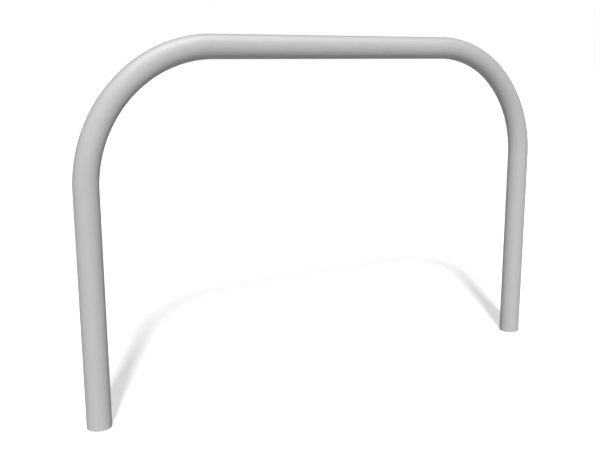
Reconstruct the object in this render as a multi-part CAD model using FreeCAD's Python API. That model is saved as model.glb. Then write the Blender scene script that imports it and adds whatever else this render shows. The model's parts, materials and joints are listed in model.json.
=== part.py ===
import FreeCAD, Part
import math
import os

# Hoop bike rack: one round tube bent into a hoop, whose legs are cast into concrete.
# X runs along the hoop, Y across it and Z up. The origin is at ground level, midway between the legs.
# All sizes are in millimetres.

# The hoop above the ground
overall_width = 1150.0
height_above_ground = 750.0
tube_diameter = 48.3
tube_wall = 3.2
bend_radius = 262.0  # to the middle of the tube

# The roots, from ground level down to the underside of the end caps
root_depth = 300.0

# Anchor bar through each root
bar_diameter = 12.0
bar_length = 150.0
bar_chamfer = 1.0
bar_above_leg_end = 60.0  # from the cut end of the leg to the middle of the bar
bar_hole_clearance = 0.25  # on the radius

# Weld bead round each end of a bar, where it leaves the tube
weld_leg = 5.0
weld_bulge = 0.6
weld_toe_overrun = 0.4  # how far the bead's profile runs on past the tube's surface, before it is trimmed

# End cap in the open end of each leg
cap_head_thickness = 3.0
cap_head_rounding = 1.2
cap_sleeve_wall = 2.0
cap_sleeve_gap = 1.4  # between the sleeve and the tube's bore
cap_barb_clearance = 0.1  # between a barb's tip and the tube's bore
cap_barb_height = 4.0
cap_barb_pitch = 6.0
cap_barb_count = 3

# Derived places
tube_radius = tube_diameter / 2
bore_radius = tube_radius - tube_wall
leg_x = overall_width / 2 - tube_radius
rail_z = height_above_ground - tube_radius
leg_end_z = cap_head_thickness - root_depth
bar_radius = bar_diameter / 2
bar_z = leg_end_z + bar_above_leg_end

sides = {"left": -1, "right": 1}
faces = {"front": -1, "rear": 1}
up = FreeCAD.Vector(0, 0, 1)
across = FreeCAD.Vector(0, 1, 0)


def hoop_point(x, z):
    """A point in the hoop's own plane."""
    return FreeCAD.Vector(x, 0, z)


def bend(side):
    """The quarter circle that joins a leg to the rail, as three points from the leg to the rail."""
    centre_x = leg_x - bend_radius
    centre_z = rail_z - bend_radius
    halfway = bend_radius * math.sqrt(0.5)
    return [
        hoop_point(side * leg_x, centre_z),
        hoop_point(side * (centre_x + halfway), centre_z + halfway),
        hoop_point(side * centre_x, rail_z),
    ]


def centre_line():
    """The line that the middle of the tube follows, from the left leg's end to the right leg's."""
    left = bend(-1)
    right = bend(1)[::-1]
    left_leg = Part.LineSegment(hoop_point(-leg_x, leg_end_z), left[0])
    rail = Part.LineSegment(left[-1], right[0])
    right_leg = Part.LineSegment(right[-1], hoop_point(leg_x, leg_end_z))
    curves = [left_leg, Part.Arc(*left), rail, Part.Arc(*right), right_leg]
    return Part.Wire([curve.toShape() for curve in curves])


def round_bar(line, radius):
    """A solid round bar that follows the line."""
    circle = Part.makeCircle(radius, line.Vertexes[0].Point, up)
    return line.makePipe(Part.Face(Part.Wire(circle)))


def bar_hole(side):
    """What the drill takes out of one leg for its anchor bar."""
    start = FreeCAD.Vector(side * leg_x, -tube_diameter, bar_z)
    return Part.makeCylinder(bar_radius + bar_hole_clearance, 2 * tube_diameter, start, across)


def hoop_tube():
    """The bent tube, open at both leg ends and drilled right through both roots."""
    line = centre_line()
    tube = round_bar(line, tube_radius).cut(round_bar(line, bore_radius))
    for side in sides.values():
        tube = tube.cut(bar_hole(side))
    return tube


def anchor_bar(side):
    """A plain round bar across one root, chamfered at both ends."""
    start = FreeCAD.Vector(side * leg_x, -bar_length / 2, bar_z)
    bar = Part.makeCylinder(bar_radius, bar_length, start, across)
    rims = [edge for edge in bar.Edges if edge.isClosed()]
    return bar.makeChamfer(bar_chamfer, rims)


def weld_bead(side, face):
    """A ring of weld metal in the corner between a bar and the outside of its leg."""
    toe_radius = bar_radius + weld_leg
    toe_y = math.sqrt(tube_radius ** 2 - toe_radius ** 2) - weld_toe_overrun
    crown_y = tube_radius + weld_leg
    slope = math.atan2(crown_y - toe_y, weld_leg)

    def profile_point(from_bar_axis, from_leg_axis):
        return FreeCAD.Vector(side * leg_x + from_bar_axis, face * from_leg_axis, bar_z)

    root = profile_point(bar_radius, toe_y)
    toe = profile_point(toe_radius, toe_y)
    crown = profile_point(bar_radius, crown_y)
    middle = profile_point(
        (toe_radius + bar_radius) / 2 + weld_bulge * math.sin(slope),
        (toe_y + crown_y) / 2 + weld_bulge * math.cos(slope),
    )
    outline = [Part.LineSegment(root, toe), Part.Arc(toe, middle, crown), Part.LineSegment(crown, root)]
    profile = Part.Face(Part.Wire([curve.toShape() for curve in outline]))
    ring = profile.revolve(FreeCAD.Vector(side * leg_x, 0, bar_z), across, 360)
    leg_start = hoop_point(side * leg_x, bar_z - tube_diameter)
    return ring.cut(Part.makeCylinder(tube_radius, 2 * tube_diameter, leg_start, up))


def end_cap(side):
    """A plug with a rounded head under the leg's cut end and a hollow barbed sleeve inside the bore."""
    head = Part.makeCylinder(tube_radius, cap_head_thickness, hoop_point(side * leg_x, -root_depth), up)
    rims = [edge for edge in head.Edges if edge.isClosed()]
    lower_rim = min(rims, key=lambda rim: rim.CenterOfMass.z)
    cap = head.makeFillet(cap_head_rounding, [lower_rim])

    seat = hoop_point(side * leg_x, leg_end_z)
    sleeve_radius = bore_radius - cap_sleeve_gap
    barb_gap = cap_barb_pitch - cap_barb_height
    sleeve_height = cap_barb_count * cap_barb_pitch + barb_gap
    cap = cap.fuse(Part.makeCylinder(sleeve_radius, sleeve_height, seat, up))
    barb_radius = bore_radius - cap_barb_clearance
    for barb in range(cap_barb_count):
        barb_start = seat + up * (barb_gap + barb * cap_barb_pitch)
        cap = cap.fuse(Part.makeCone(barb_radius, sleeve_radius, cap_barb_height, barb_start, up))
    hollow = Part.makeCylinder(sleeve_radius - cap_sleeve_wall, sleeve_height, seat, up)
    return cap.cut(hollow).removeSplitter()


def save(node, shape):
    """Writes one piece, which has to be a single sound solid."""
    if len(shape.Solids) != 1 or not shape.isValid():
        raise ValueError(node + " isn't one sound solid")
    shape.Solids[0].exportStep("parts/" + node + ".step")


def main():
    os.makedirs("parts", exist_ok=True)
    save("hoop_tube", hoop_tube())
    for side_name, side in sides.items():
        save(side_name + "_anchor_bar", anchor_bar(side))
        save(side_name + "_end_cap", end_cap(side))
        for face_name, face in faces.items():
            save(side_name + "_" + face_name + "_weld", weld_bead(side, face))
    print("length of tube before bending: {:.1f} mm".format(centre_line().Length))


main()
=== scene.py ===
import json
import math

import bmesh
import bpy
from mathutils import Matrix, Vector

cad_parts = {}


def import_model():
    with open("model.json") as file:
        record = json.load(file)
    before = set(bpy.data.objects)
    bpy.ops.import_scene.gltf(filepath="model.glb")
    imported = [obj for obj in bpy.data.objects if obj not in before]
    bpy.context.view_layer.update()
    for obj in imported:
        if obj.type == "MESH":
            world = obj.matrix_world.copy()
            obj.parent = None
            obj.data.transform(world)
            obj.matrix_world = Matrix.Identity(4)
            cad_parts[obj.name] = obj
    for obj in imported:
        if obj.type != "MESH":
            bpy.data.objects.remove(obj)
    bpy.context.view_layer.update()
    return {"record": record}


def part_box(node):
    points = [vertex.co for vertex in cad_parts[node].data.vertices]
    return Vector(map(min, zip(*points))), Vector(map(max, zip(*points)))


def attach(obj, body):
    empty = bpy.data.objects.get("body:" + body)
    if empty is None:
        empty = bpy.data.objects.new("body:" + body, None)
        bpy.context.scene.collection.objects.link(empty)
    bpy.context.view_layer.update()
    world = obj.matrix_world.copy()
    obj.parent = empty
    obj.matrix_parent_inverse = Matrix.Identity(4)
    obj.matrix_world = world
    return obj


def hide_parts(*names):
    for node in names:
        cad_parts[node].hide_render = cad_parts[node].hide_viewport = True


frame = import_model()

# Hoop bike rack: one bent tube above the ground, and its roots, anchor bars, welds and end caps below it.
# Metres. X runs along the hoop, Y across it and Z up, with the ground at zero.

SIDES = {"left": -1, "right": 1}
FACES = {"front": -1, "rear": 1}
MILLIMETRES_IN_A_METRE = 1000

# Sizes read from the frame
hoop_low, hoop_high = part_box("hoop_tube")
tube_radius = hoop_high.y
leg_x = hoop_high.x - tube_radius
rail_z = hoop_high.z - tube_radius
leg_end_z = hoop_low.z
mounts = {mount["name"]: mount for mount in frame["record"]["mounts"]}
rail_length = mounts["locking_rail"]["dims"]["length_mm"] / MILLIMETRES_IN_A_METRE
bend_radius = leg_x - rail_length / 2
bar_low, bar_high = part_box("right_anchor_bar")
bar_radius = (bar_high.z - bar_low.z) / 2
bar_half_length = bar_high.y
bar_z = (bar_high.z + bar_low.z) / 2
cap_low, cap_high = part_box("right_end_cap")

# Sizes that the frame's boxes don't give
TUBE_WALL = 0.0032
BAR_HOLE_CLEARANCE = 0.00025
BAR_CHAMFER = 0.001
WELD_LEG = 0.005
WELD_BULGE = 0.0006
WELD_TOE_OVERRUN = 0.0004
CAP_ROUNDING = 0.0012
CAP_SLEEVE_WALL = 0.002
CAP_SLEEVE_GAP = 0.0014
CAP_BARB_CLEARANCE = 0.0001
CAP_BARB_HEIGHT = 0.004
CAP_BARB_PITCH = 0.006
CAP_BARB_COUNT = 3
bore_radius = tube_radius - TUBE_WALL

# Details that are only in the scene
COAT_LINE_Z = -0.04  # the paint stops here, and the zinc under it is bare
GATE_MARK_RADIUS = 0.0055  # the shallow dish in the underside of a cap, where the mould was filled
GATE_MARK_DEPTH = 0.0005
BEAD_RIPPLES = 28
BEAD_RIPPLE_HEIGHT = 0.00022
BEAD_RIPPLE_BOW = 2.6  # how far the ripples bend back at the edges of the bead, in radians of one ripple
BEAD_WANDER = 0.00012  # slow change in the height of the bead
BEAD_WANDER_WAVES = 3  # how often that height rises and falls round the bar
BEAD_WANDER_SHIFT = 5  # how far these waves move with the place where the welder began
BEAD_SINK = 0.00008  # how far a bead's edges sink into the steel
BEAD_START = 0.5  # where the welder began, in half turns, which differs with the side and the face
BEAD_START_BY_SIDE = 0.3
BEAD_START_BY_FACE = 0.1

# How finely the meshes are cut
TUBE_SIDES = 96
BEND_STEPS = 64
STRAIGHT_STEP = 0.03
HOLE_STEP = 0.0025
HOLE_SIDES = 64
TURNED_SIDES = 96
ROUNDING_STEPS = 6
RIPPLE_STEPS = 8
BEAD_FACE_STEPS = 12
BEAD_SEAT_STEPS = 4
TOE_HALVINGS = 30
CRISP_ANGLE = math.radians(30)

# The materials of the tube's mesh, in this order
COAT_INDEX = 0
ZINC_INDEX = 1

# Powder coat. A tone is a share of the way from the dark colour to the light one.
COAT_DARK = (0.515, 0.515, 0.515)
COAT_LIGHT = (0.545, 0.545, 0.545)
COAT_CLOUD_SIZE = 0.06
COAT_CLOUD_TONE = (0.2, 0.6)
COAT_GRAIN_SIZE = 0.0006
COAT_GRAIN_TONE = (0.0, 0.4)
COAT_SATIN_SIZE = 0.03
COAT_ROUGHNESS = (0.54, 0.6)
COAT_PEEL_SIZE = 0.002
COAT_PEEL_HEIGHT = 0.00002
COAT_SPECK_SIZE = 0.0005
COAT_SPECK_HEIGHT = 0.000002
COAT_GLOSS = 0.5
COAT_GLOSS_FADE = (0.3, 0.74)  # 0 is where a surface faces the eye, and 1 is its outline

# Galvanising
ZINC_DARK = (0.42, 0.43, 0.445)
ZINC_LIGHT = (0.58, 0.59, 0.60)
ZINC_SPANGLE_SIZE = 0.011
ZINC_SPANGLE_TONE = (0.0, 0.7)
ZINC_SPANGLE_ROUGHNESS = (0.36, 0.5)
ZINC_FROST_SIZE = 0.0015
ZINC_FROST_TONE = (0.0, 0.3)
ZINC_FROST_ROUGHNESS = (-0.04, 0.06)
ZINC_FROST_HEIGHT = 0.000012
ZINC_RUN_SIZE = 0.012
ZINC_RUN_HEIGHT = 0.00012
ZINC_SEAM_WIDTH = 0.08  # as a share of a spangle
ZINC_SEAM_HEIGHT = 0.00001

# Weld metal
WELD_DARK = (0.36, 0.365, 0.375)
WELD_LIGHT = (0.52, 0.53, 0.54)
WELD_SCALE_SIZE = 0.0012
WELD_SCALE_TONE = (0.0, 0.5)
WELD_SCALE_HEIGHT = 0.00003
WELD_PATCH_SIZE = 0.006
WELD_PATCH_TONE = (0.0, 0.5)
WELD_PATCH_HEIGHT = 0.00008
WELD_ROUGHNESS = (0.42, 0.6)

# Plastic of the end caps
CAP_DARK = (0.024, 0.024, 0.026)
CAP_LIGHT = (0.037, 0.037, 0.039)
CAP_BLOOM_SIZE = 0.012
CAP_BLOOM_TONE = (0.0, 0.6)
CAP_GRAIN_SIZE = 0.0004
CAP_GRAIN_TONE = (0.0, 0.4)
CAP_GRAIN_HEIGHT = 0.00002
CAP_SATIN_SIZE = 0.008
CAP_ROUGHNESS = (0.5, 0.62)

# The values that nearly all of a cloud pattern has, and those of a pattern that uses its whole range
CLOUD_RANGE = (0.3, 0.7)
WHOLE_RANGE = (0.0, 1.0)

# Camera, fitted to the outline of the hoop in the photograph.
# Lens and sensor are in millimetres and turns in degrees.
CAMERA_PLACE = (-0.98889, -1.49034, 0.70731)
CAMERA_LEVEL = 90.0  # without this turn a camera looks straight down
CAMERA_YAW = -32.045
CAMERA_PITCH = -11.906
CAMERA_LENS = 49.453
CAMERA_SENSOR = 36.0
CAMERA_SHIFT_X = -0.02403

# Lamps. The key is at the left, in front and above. The back lamp is opposite the camera and lights the
# sides that the photograph doesn't show. The softbox is overhead and only gives the sheen. An angle is how
# wide a lamp looks, in degrees.
KEY_TOWARDS = (-0.3825, -0.680, 0.625)
KEY_ANGLE = 6.8
KEY_STRENGTH = 2.99
BACK_TOWARDS = (0.525, 0.840, 0.139)
BACK_ANGLE = 25.0
BACK_STRENGTH = 1.5
SOFTBOX_TOWARDS = (0.056, 0.0, 1.0)
SOFTBOX_ANGLE = 60.0
SOFTBOX_STRENGTH = 7.0
LAMP_DISTANCE = 3.0

# What surrounds the hoop: white to look at, and dull where it throws light back on the hoop
WHITE = (1.0, 1.0, 1.0, 1.0)
WORLD_WHITE = 1.0
WORLD_FILL = 0.17
FLOOR_HALF_SIZE = 40.0
FLOOR_PALE = 0.92
FLOOR_GLOW = 0.454
FLOOR_DULL = 0.345


class Look:
    """A Principled material with nodes that vary it over the surface, in the object's own metres."""

    def __init__(self, name, metallic):
        self.material = bpy.data.materials.new(name)
        self.material.use_nodes = True
        self.nodes = self.material.node_tree.nodes
        self.links = self.material.node_tree.links
        self.shader = self.nodes["Principled BSDF"]
        self.shader.inputs["Metallic"].default_value = metallic
        self.place = self.nodes.new("ShaderNodeTexCoord").outputs["Object"]

    def noise(self, size, detail=2.0, roughness=0.5):
        """Clouds whose patches are about size across."""
        clouds = self.nodes.new("ShaderNodeTexNoise")
        clouds.inputs["Scale"].default_value = 1 / size
        clouds.inputs["Detail"].default_value = detail
        clouds.inputs["Roughness"].default_value = roughness
        self.links.new(self.place, clouds.inputs["Vector"])
        return clouds.outputs["Fac"]

    def voronoi(self, size, feature):
        """A pattern of cells about size across."""
        pattern = self.nodes.new("ShaderNodeTexVoronoi")
        pattern.feature = feature
        pattern.inputs["Scale"].default_value = 1 / size
        self.links.new(self.place, pattern.inputs["Vector"])
        return pattern.outputs

    def cells(self, size):
        """Cells about size across, each with a number of its own."""
        split = self.nodes.new("ShaderNodeSeparateColor")
        self.links.new(self.voronoi(size, "F1")["Color"], split.inputs["Color"])
        return split.outputs["Red"]

    def cell_edges(self, size):
        """How far a point of these cells is from the nearest edge."""
        return self.voronoi(size, "DISTANCE_TO_EDGE")["Distance"]

    def spread(self, value, ends, given=CLOUD_RANGE):
        """The value brought from the given range to between the two ends."""
        brought = self.nodes.new("ShaderNodeMapRange")
        limits = {"From Min": given[0], "From Max": given[1], "To Min": ends[0], "To Max": ends[1]}
        for limit, number in limits.items():
            brought.inputs[limit].default_value = number
        self.links.new(value, brought.inputs["Value"])
        return brought.outputs["Result"]

    def add(self, first, second):
        """The two values added together."""
        both = self.nodes.new("ShaderNodeMath")
        both.operation = "ADD"
        self.links.new(first, both.inputs[0])
        self.links.new(second, both.inputs[1])
        return both.outputs["Value"]

    def colour(self, tone, dark, light):
        """The base colour, from dark where the tone is 0 to light where it is 1."""
        ramp = self.nodes.new("ShaderNodeValToRGB")
        ramp.color_ramp.elements[0].color = (*dark, 1.0)
        ramp.color_ramp.elements[1].color = (*light, 1.0)
        self.links.new(tone, ramp.inputs["Fac"])
        self.links.new(ramp.outputs["Color"], self.shader.inputs["Base Color"])

    def fade_gloss(self, level, fade):
        """Gloss of this level where the surface faces the eye, which fades to none towards its outline."""
        turned_away = self.nodes.new("ShaderNodeLayerWeight").outputs["Facing"]
        gloss = self.spread(turned_away, (level, 0.0), given=fade)
        self.links.new(gloss, self.shader.inputs["Specular IOR Level"])

    def roughness(self, value):
        """The roughness, all over the surface."""
        self.links.new(value, self.shader.inputs["Roughness"])

    def relief(self, *layers):
        """Fine unevenness. Each layer is a value and the height that it stands for."""
        below = None
        for value, height in layers:
            bump = self.nodes.new("ShaderNodeBump")
            bump.inputs["Distance"].default_value = height
            self.links.new(value, bump.inputs["Height"])
            if below is not None:
                self.links.new(below, bump.inputs["Normal"])
            below = bump.outputs["Normal"]
        self.links.new(below, self.shader.inputs["Normal"])


def coat_look():
    """Satin grey powder coat: orange peel, a fine grain and hardly any change in colour."""
    look = Look("powder_coat", metallic=0.0)
    cloud = look.spread(look.noise(COAT_CLOUD_SIZE, detail=3.0), COAT_CLOUD_TONE)
    grain = look.spread(look.noise(COAT_GRAIN_SIZE, detail=1.0), COAT_GRAIN_TONE)
    look.colour(look.add(cloud, grain), COAT_DARK, COAT_LIGHT)
    look.roughness(look.spread(look.noise(COAT_SATIN_SIZE), COAT_ROUGHNESS))
    peel = look.noise(COAT_PEEL_SIZE, detail=1.0)
    speck = look.noise(COAT_SPECK_SIZE, detail=0.0)
    look.relief((peel, COAT_PEEL_HEIGHT), (speck, COAT_SPECK_HEIGHT))
    look.fade_gloss(COAT_GLOSS, COAT_GLOSS_FADE)
    return look.material


def zinc_look():
    """Hot-dip galvanising: spangles, each with its own grey and gloss, under a faint frost."""
    look = Look("hot_dip_zinc", metallic=1.0)
    spangle = look.cells(ZINC_SPANGLE_SIZE)
    frost = look.noise(ZINC_FROST_SIZE, detail=4.0, roughness=0.6)
    spangle_tone = look.spread(spangle, ZINC_SPANGLE_TONE, given=WHOLE_RANGE)
    look.colour(look.add(spangle_tone, look.spread(frost, ZINC_FROST_TONE)), ZINC_DARK, ZINC_LIGHT)
    spangle_roughness = look.spread(spangle, ZINC_SPANGLE_ROUGHNESS, given=WHOLE_RANGE)
    look.roughness(look.add(spangle_roughness, look.spread(frost, ZINC_FROST_ROUGHNESS)))
    seam = look.spread(look.cell_edges(ZINC_SPANGLE_SIZE), WHOLE_RANGE, given=(0.0, ZINC_SEAM_WIDTH))
    run = look.noise(ZINC_RUN_SIZE, detail=1.0)
    look.relief((run, ZINC_RUN_HEIGHT), (seam, ZINC_SEAM_HEIGHT), (frost, ZINC_FROST_HEIGHT))
    return look.material


def weld_look():
    """Weld metal under the zinc: a little darker and rougher, with fine scale on its ripples."""
    look = Look("scaled_weld", metallic=1.0)
    scale = look.noise(WELD_SCALE_SIZE, detail=4.0, roughness=0.65)
    patch = look.noise(WELD_PATCH_SIZE)
    tone = look.add(look.spread(scale, WELD_SCALE_TONE), look.spread(patch, WELD_PATCH_TONE))
    look.colour(tone, WELD_DARK, WELD_LIGHT)
    look.roughness(look.spread(patch, WELD_ROUGHNESS))
    look.relief((patch, WELD_PATCH_HEIGHT), (scale, WELD_SCALE_HEIGHT))
    return look.material


def cap_look():
    """Black moulded plastic with a fine spark texture and the pale bloom of the mould."""
    look = Look("moulded_plastic", metallic=0.0)
    bloom = look.noise(CAP_BLOOM_SIZE, detail=3.0)
    grain = look.noise(CAP_GRAIN_SIZE)
    tone = look.add(look.spread(bloom, CAP_BLOOM_TONE), look.spread(grain, CAP_GRAIN_TONE))
    look.colour(tone, CAP_DARK, CAP_LIGHT)
    look.roughness(look.spread(look.noise(CAP_SATIN_SIZE), CAP_ROUGHNESS))
    look.relief((grain, CAP_GRAIN_HEIGHT))
    return look.material


def link(piece):
    """Puts an object in the scene."""
    bpy.context.collection.objects.link(piece)
    return piece


def steps(start, end, step):
    """Evenly spaced values from start up to, but not including, end."""
    count = max(1, round(abs(end - start) / step))
    return [start + (end - start) * i / count for i in range(count)]


def turns(count):
    """Evenly spaced angles all the way round."""
    return [math.tau * i / count for i in range(count)]


def arc(centre, radius, start, end, count):
    """Points of an arc, both ends included. Angles in degrees."""
    points = []
    for i in range(count + 1):
        angle = math.radians(start + (end - start) * i / count)
        points.append((centre[0] + radius * math.cos(angle), centre[1] + radius * math.sin(angle)))
    return points


def finish_mesh(mesh):
    """Turns the faces outwards and shades them smooth between crisp edges."""
    shape = bmesh.new()
    shape.from_mesh(mesh)
    bmesh.ops.recalc_face_normals(shape, faces=shape.faces)
    shape.to_mesh(mesh)
    shape.free()
    mesh.shade_smooth()
    mesh.set_sharp_from_angle(angle=CRISP_ANGLE)


def mesh_piece(name, verts, faces, materials, indices=None):
    """A closed mesh. The indices say which of the materials each face has, where it isn't the first."""
    mesh = bpy.data.meshes.new(name)
    mesh.from_pydata(verts, [], faces)
    for material in materials:
        mesh.materials.append(material)
    if indices is not None:
        mesh.polygons.foreach_set("material_index", indices)
    finish_mesh(mesh)
    return link(bpy.data.objects.new(name, mesh))


def ring_faces(ring_count, width, closed=False):
    """Faces between rings of width points that follow each other. closed joins the last to the first."""
    faces = []
    for ring in range(ring_count if closed else ring_count - 1):
        here = ring * width
        there = (ring + 1) % ring_count * width
        for point in range(width):
            beside = (point + 1) % width
            faces.append((here + point, there + point, there + beside, here + beside))
    return faces


def shifted(faces, start):
    """The same faces for points that begin at start."""
    return [tuple(start + corner for corner in face) for face in faces]


def leg_heights():
    """Where the rings of a leg are, closer together round the cross hole and with one on the coat line."""
    hole_low = bar_z - tube_radius / 2
    hole_high = bar_z + tube_radius / 2
    heights = steps(leg_end_z, hole_low, STRAIGHT_STEP)
    heights += steps(hole_low, hole_high, HOLE_STEP)
    heights += steps(hole_high, COAT_LINE_Z, STRAIGHT_STEP)
    heights += steps(COAT_LINE_Z, rail_z - bend_radius, STRAIGHT_STEP)
    return heights


def centre_line():
    """The tube's centre line from the left leg's end to the right's, as x, z and the outer side's angle."""
    bend_x = leg_x - bend_radius
    bend_z = rail_z - bend_radius
    quarter = math.pi / 2
    left = [(-leg_x, z, math.pi) for z in leg_heights()]
    for turn in steps(math.pi, quarter, quarter / BEND_STEPS):
        x = -bend_x + bend_radius * math.cos(turn)
        left.append((x, bend_z + bend_radius * math.sin(turn), turn))
    left += [(x, rail_z, quarter) for x in steps(-bend_x, 0, STRAIGHT_STEP)]
    right = [(-x, z, math.pi - turn) for x, z, turn in reversed(left)]
    return left + [(0, rail_z, quarter)] + right


def tube_skin(line, radius):
    """Rings of points round the line."""
    verts = []
    for x, z, outer in line:
        for turn in turns(TUBE_SIDES):
            out = radius * math.cos(turn)
            verts.append((x + out * math.cos(outer), radius * math.sin(turn), z + out * math.sin(outer)))
    return verts


def end_faces(first, bore):
    """The flat ring round one end. Its outer points start at first, and the inner ones come bore later."""
    faces = []
    for point in range(TUBE_SIDES):
        here = first + point
        beside = first + (point + 1) % TUBE_SIDES
        faces.append((here, beside, bore + beside, bore + here))
    return faces


def coat_or_zinc(verts, faces):
    """The materials of the tube's outside: the coat above the coat line, and zinc below it."""
    indices = []
    for face in faces:
        lowest = min(verts[corner][2] for corner in face)
        painted = lowest > COAT_LINE_Z - STRAIGHT_STEP / 2
        indices.append(COAT_INDEX if painted else ZINC_INDEX)
    return indices


def hole_tool(materials):
    """What the drill takes out of both legs, as one mesh of two long cylinders."""
    radius = bar_radius + BAR_HOLE_CLEARANCE
    verts = []
    faces = []
    for side in SIDES.values():
        start = len(verts)
        for y in (-bar_half_length, bar_half_length):
            for turn in turns(HOLE_SIDES):
                verts.append((side * leg_x + radius * math.cos(turn), y, bar_z + radius * math.sin(turn)))
        faces += shifted(ring_faces(2, HOLE_SIDES), start)
        faces.append(tuple(range(start, start + HOLE_SIDES)))
        faces.append(tuple(range(start + HOLE_SIDES, len(verts))))
    return mesh_piece("hole_tool", verts, faces, materials, [ZINC_INDEX] * len(faces))


def cut(piece, tool):
    """Takes the tool out of the piece, and deletes the tool."""
    drill = piece.modifiers.new("drill", "BOOLEAN")
    drill.object = tool
    drill.operation = "DIFFERENCE"
    drill.solver = "EXACT"
    drilled = piece.evaluated_get(bpy.context.evaluated_depsgraph_get())
    piece.data = bpy.data.meshes.new_from_object(drilled)
    piece.modifiers.clear()
    bpy.data.objects.remove(tool)
    finish_mesh(piece.data)


def hoop(coat, zinc):
    """The hollow tube with its cross holes, painted outside down to the coat line and zinc elsewhere."""
    line = centre_line()
    verts = tube_skin(line, tube_radius) + tube_skin(line, bore_radius)
    bore = len(line) * TUBE_SIDES
    outside = ring_faces(len(line), TUBE_SIDES)
    bare = shifted(outside, bore) + end_faces(0, bore) + end_faces(bore - TUBE_SIDES, bore)
    indices = coat_or_zinc(verts, outside) + [ZINC_INDEX] * len(bare)
    piece = mesh_piece("hoop", verts, outside + bare, [coat, zinc], indices)
    cut(piece, hole_tool([coat, zinc]))
    return piece


def turned(name, profile, centre, axis, material):
    """A solid of revolution. Its profile is pairs of radius and place along the axis, from axis to axis."""
    verts = []
    rings = []
    for radius, along in profile:
        count = TURNED_SIDES if radius > 0 else 1
        rings.append(range(len(verts), len(verts) + count))
        for turn in turns(count):
            first = radius * math.cos(turn)
            second = radius * math.sin(turn)
            if axis == "z":
                verts.append((centre[0] + first, centre[1] + second, centre[2] + along))
            else:
                verts.append((centre[0] + first, centre[1] + along, centre[2] + second))
    faces = []
    for here, there in zip(rings, rings[1:]):
        for point in range(TURNED_SIDES):
            beside = (point + 1) % TURNED_SIDES
            corners = [here[point % len(here)], here[beside % len(here)]]
            corners += [there[beside % len(there)], there[point % len(there)]]
            # A ring on the axis is one point, so its faces have three corners
            faces.append(tuple(dict.fromkeys(corners)))
    return mesh_piece(name, verts, faces, [material])


def anchor_rod(side, zinc):
    """The bar across a root, with its chamfers."""
    end = bar_half_length
    half = [(0, end), (bar_radius - BAR_CHAMFER, end), (bar_radius, end - BAR_CHAMFER)]
    profile = half + [(radius, -along) for radius, along in reversed(half)]
    return turned("rod", profile, (side * leg_x, 0, bar_z), "y", zinc)


def plug_head(bottom, top):
    """The outside of an end cap's head, from the gate mark in its underside to its upper rim."""
    marked = bottom + GATE_MARK_DEPTH
    corner = (tube_radius - CAP_ROUNDING, bottom + CAP_ROUNDING)
    profile = [(0, marked), (GATE_MARK_RADIUS, marked), (GATE_MARK_RADIUS + GATE_MARK_DEPTH, bottom)]
    profile += arc(corner, CAP_ROUNDING, -90, 0, ROUNDING_STEPS)
    return profile + [(tube_radius, top)]


def plug_sleeve(bottom, top):
    """The outside of an end cap's hollow sleeve, with its barbs, and then the hollow."""
    outer = bore_radius - CAP_SLEEVE_GAP
    inner = outer - CAP_SLEEVE_WALL
    barb_radius = bore_radius - CAP_BARB_CLEARANCE
    barb_gap = CAP_BARB_PITCH - CAP_BARB_HEIGHT
    profile = [(outer, bottom)]
    for barb in range(CAP_BARB_COUNT):
        barb_low = bottom + barb_gap + barb * CAP_BARB_PITCH
        profile += [(outer, barb_low), (barb_radius, barb_low), (outer, barb_low + CAP_BARB_HEIGHT)]
    return profile + [(outer, top), (inner, top), (inner, bottom), (0, bottom)]


def plug(side, plastic):
    """The end cap: a rounded head under the leg and a hollow barbed sleeve inside it."""
    profile = plug_head(cap_low.z, leg_end_z) + plug_sleeve(leg_end_z, cap_high.z)
    return turned("plug", profile, (side * leg_x, 0, 0), "z", plastic)


def tube_surface(from_bar_axis, turn):
    """How far the tube's outside is from the leg's axis, at a place round the bar."""
    return math.sqrt(tube_radius ** 2 - (from_bar_axis * math.cos(turn)) ** 2)


def bead_face(share, lift=0.0):
    """A point of the bead's plain face, which goes from its crown on the bar, 0, to beside the tube, 1."""
    toe_radius = bar_radius + WELD_LEG
    toe_y = math.sqrt(tube_radius ** 2 - toe_radius ** 2) - WELD_TOE_OVERRUN
    crown_y = tube_radius + WELD_LEG
    slope = math.atan2(crown_y - toe_y, WELD_LEG)
    rise = 4 * share * (1 - share) * WELD_BULGE + lift
    along_radius = bar_radius + WELD_LEG * share + rise * math.sin(slope)
    return along_radius, crown_y + (toe_y - crown_y) * share + rise * math.cos(slope)


def bead_toe(turn):
    """The share of the face at which it meets the tube, found by halving."""
    low = 0.0
    high = 1.0
    for _ in range(TOE_HALVINGS):
        middle = (low + high) / 2
        radius, y = bead_face(middle)
        if y > tube_surface(radius, turn):
            low = middle
        else:
            high = middle
    return low


def bead_lift(across, turn, start):
    """How far the ripples lift the bead's face. across is 0 at its crown on the bar and 1 at its toe."""
    bow = BEAD_RIPPLE_BOW * (2 * across - 1) ** 2
    ripple = BEAD_RIPPLE_HEIGHT * (1 - abs(math.sin((BEAD_RIPPLES * (turn - start) + bow) / 2)))
    wander = BEAD_WANDER * math.sin(BEAD_WANDER_WAVES * turn + BEAD_WANDER_SHIFT * start)
    return (ripple + wander) * math.sin(math.pi * across) - BEAD_SINK


def bead_section(turn, start):
    """The bead's outline at one place round the bar: its rippled face, and then its seat on the tube."""
    toe = bead_toe(turn)
    section = []
    for step in range(BEAD_FACE_STEPS + 1):
        across = step / BEAD_FACE_STEPS
        section.append(bead_face(across * toe, bead_lift(across, turn, start)))
    toe_radius = section[-1][0]
    for step in range(1, BEAD_SEAT_STEPS + 1):
        radius = toe_radius + (bar_radius - BEAD_SINK - toe_radius) * step / BEAD_SEAT_STEPS
        section.append((radius, tube_surface(radius, turn) - BEAD_SINK))
    return section


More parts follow.
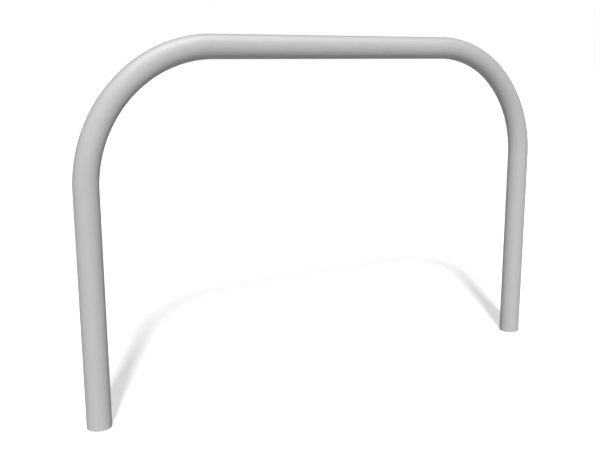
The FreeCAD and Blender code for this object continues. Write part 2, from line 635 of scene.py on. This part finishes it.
def bead(side, face, weld_metal):
    """A rippled ring of weld between a bar and the outside of its leg."""
    start = math.pi * (BEAD_START + BEAD_START_BY_SIDE * side + BEAD_START_BY_FACE * face)
    ring_count = BEAD_RIPPLES * RIPPLE_STEPS
    verts = []
    for turn in turns(ring_count):
        section = bead_section(turn, start)
        for radius, y in section:
            x = side * leg_x + radius * math.cos(turn)
            verts.append((x, face * y, bar_z + radius * math.sin(turn)))
    faces = ring_faces(ring_count, len(section), closed=True)
    return mesh_piece("bead", verts, faces, [weld_metal])


def dress(piece, node):
    """Lets the piece stand for the node, under its name."""
    piece.name = node + "_dressed"
    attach(piece, "root")
    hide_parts(node)


def camera():
    """The camera, where the photograph was taken from."""
    data = bpy.data.cameras.new("camera")
    data.lens = CAMERA_LENS
    data.sensor_width = CAMERA_SENSOR
    data.shift_x = CAMERA_SHIFT_X
    holder = link(bpy.data.objects.new("camera", data))
    holder.location = CAMERA_PLACE
    holder.rotation_euler = (math.radians(CAMERA_LEVEL + CAMERA_PITCH), 0.0, math.radians(CAMERA_YAW))
    bpy.context.scene.camera = holder


def lamp(name, towards, strength, angle):
    """A distant lamp. It lies towards that direction from the hoop, and looks as wide as the angle."""
    data = bpy.data.lights.new(name, "SUN")
    data.energy = strength
    data.angle = math.radians(angle)
    holder = link(bpy.data.objects.new(name, data))
    holder.location = Vector(towards) * LAMP_DISTANCE
    holder.rotation_euler = Vector(towards).to_track_quat("Z", "Y").to_euler()
    return holder


def lamps():
    """Two lamps without a mirror image in the coat, and one that only shows there."""
    key = lamp("key", KEY_TOWARDS, KEY_STRENGTH, KEY_ANGLE)
    key.visible_glossy = False
    back = lamp("back", BACK_TOWARDS, BACK_STRENGTH, BACK_ANGLE)
    back.visible_glossy = False
    softbox = lamp("softbox", SOFTBOX_TOWARDS, SOFTBOX_STRENGTH, SOFTBOX_ANGLE)
    softbox.visible_diffuse = False


def shown_rays(nodes, links):
    """1 for rays that show what they meet, straight, mirrored or through glass, and 0 for the others."""
    path = nodes.new("ShaderNodeLightPath")
    shown = path.outputs["Is Camera Ray"]
    for kind in ("Is Glossy Ray", "Is Transmission Ray"):
        either = nodes.new("ShaderNodeMath")
        either.operation = "MAXIMUM"
        links.new(shown, either.inputs[0])
        links.new(path.outputs[kind], either.inputs[1])
        shown = either.outputs["Value"]
    return shown


def light_or_show(nodes, links, lighting, showing):
    """The lighting shader for rays that bring light to the hoop, and the showing one for the others."""
    mix = nodes.new("ShaderNodeMixShader")
    share, where_none, where_all = mix.inputs
    links.new(shown_rays(nodes, links), share)
    links.new(lighting, where_none)
    links.new(showing, where_all)
    return mix.outputs["Shader"]


def background(nodes, strength):
    """White light from all round."""
    light = nodes.new("ShaderNodeBackground")
    light.inputs["Color"].default_value = WHITE
    light.inputs["Strength"].default_value = strength
    return light.outputs["Background"]


def world():
    """White where it is seen, and a weaker even light on the hoop."""
    made = bpy.data.worlds.new("world")
    bpy.context.scene.world = made
    made.use_nodes = True
    nodes = made.node_tree.nodes
    links = made.node_tree.links
    nodes.clear()
    fill = background(nodes, WORLD_FILL)
    white = background(nodes, WORLD_WHITE)
    out = nodes.new("ShaderNodeOutputWorld")
    links.new(light_or_show(nodes, links, fill, white), out.inputs["Surface"])


def matt(nodes, grey):
    """A matt grey surface."""
    surface = nodes.new("ShaderNodeBsdfDiffuse")
    surface.inputs["Color"].default_value = (grey, grey, grey, 1.0)
    return surface.outputs["BSDF"]


def floor_look():
    """Pale with a glow that makes it white where it is seen, and dull where it throws light on the hoop."""
    material = bpy.data.materials.new("floor")
    material.use_nodes = True
    nodes = material.node_tree.nodes
    links = material.node_tree.links
    nodes.clear()
    glow = nodes.new("ShaderNodeEmission")
    glow.inputs["Strength"].default_value = FLOOR_GLOW
    white = nodes.new("ShaderNodeAddShader")
    links.new(matt(nodes, FLOOR_PALE), white.inputs[0])
    links.new(glow.outputs["Emission"], white.inputs[1])
    dull = matt(nodes, FLOOR_DULL)
    out = nodes.new("ShaderNodeOutputMaterial")
    links.new(light_or_show(nodes, links, dull, white.outputs["Shader"]), out.inputs["Surface"])
    return material


def floor():
    """A large floor at ground level, which keeps the hoop's shadow."""
    half = FLOOR_HALF_SIZE
    mesh = bpy.data.meshes.new("floor")
    corners = [(-half, -half, 0), (half, -half, 0), (half, half, 0), (-half, half, 0)]
    mesh.from_pydata(corners, [], [(0, 1, 2, 3)])
    mesh.materials.append(floor_look())
    link(bpy.data.objects.new("floor", mesh))


def rack():
    """All the pieces of the hoop, each in place of its node."""
    coat = coat_look()
    zinc = zinc_look()
    weld_metal = weld_look()
    plastic = cap_look()
    dress(hoop(coat, zinc), "hoop_tube")
    for side_name, side in SIDES.items():
        dress(anchor_rod(side, zinc), side_name + "_anchor_bar")
        dress(plug(side, plastic), side_name + "_end_cap")
        for face_name, face in FACES.items():
            dress(bead(side, face, weld_metal), side_name + "_" + face_name + "_weld")


camera()
lamps()
world()
floor()
rack()
bpy.context.scene.view_settings.view_transform = "Standard"
